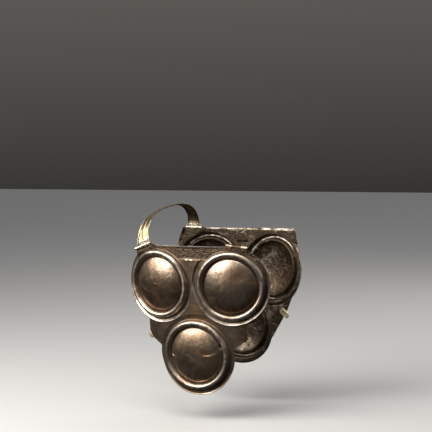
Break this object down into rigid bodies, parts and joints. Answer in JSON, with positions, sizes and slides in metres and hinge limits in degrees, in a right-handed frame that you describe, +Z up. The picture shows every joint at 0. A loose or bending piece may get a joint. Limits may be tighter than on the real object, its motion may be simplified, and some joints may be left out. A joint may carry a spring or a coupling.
{
  "type": "triple-disc bronze cuirass",
  "caption": "Front and back plates embossed with three ringed discs each, joined over one shoulder by an arched hinged plate.",
  "frame": {"origin": "under the crown of the shoulder plate, where it rests on the shoulder", "axes": "+Z up, -Y towards the wearer's front, +X towards the wearer's left"},
  "size_m": [0.2965, 0.2191, 0.3541],
  "materials": {
    "worn_bronze": "dark brown patina with worn highlights",
    "golden_bronze": "golden, lightly tarnished",
    "hinge_bronze": "dull with worn edges",
    "brassy_bronze": "olive brassy tarnish"
  },
  "bodies": {
    "shoulder": {"shoulder_plate": "golden_bronze"},
    "front": {"front_plate": "worn_bronze", "front_hinge_leaf": "hinge_bronze", "front_hinge_pin": "hinge_bronze", "front_hinge_rivet_1": "hinge_bronze", "front_hinge_rivet_2": "hinge_bronze", "spare_hinge_leaf": "hinge_bronze", "spare_hinge_pin": "hinge_bronze", "spare_hinge_rivet_1": "hinge_bronze", "spare_hinge_rivet_2": "hinge_bronze", "front_right_ear": "brassy_bronze", "front_right_ear_rivet": "hinge_bronze", "front_left_ear": "brassy_bronze", "front_left_ear_rivet": "hinge_bronze"},
    "back": {"back_plate": "worn_bronze", "back_hinge_leaf": "hinge_bronze", "back_hinge_pin": "hinge_bronze", "back_hinge_rivet_1": "hinge_bronze", "back_hinge_rivet_2": "hinge_bronze", "back_right_ear": "brassy_bronze", "back_right_ear_rivet": "hinge_bronze", "back_left_ear": "brassy_bronze", "back_left_ear_rivet": "hinge_bronze"}
  },
  "joints": [
    {"name": "front_hinge", "type": "hinge", "parent": "shoulder", "child": "front", "pos_m": [-0.00231, -0.09089, -0.06768], "axis": [-0.9311, 0, -0.3649], "range_deg": [-12, 60]},
    {"name": "back_hinge", "type": "hinge", "parent": "shoulder", "child": "back", "pos_m": [0.00649, 0.09649, -0.04938], "axis": [1, 0, 0], "range_deg": [-12, 60]}
  ]
}
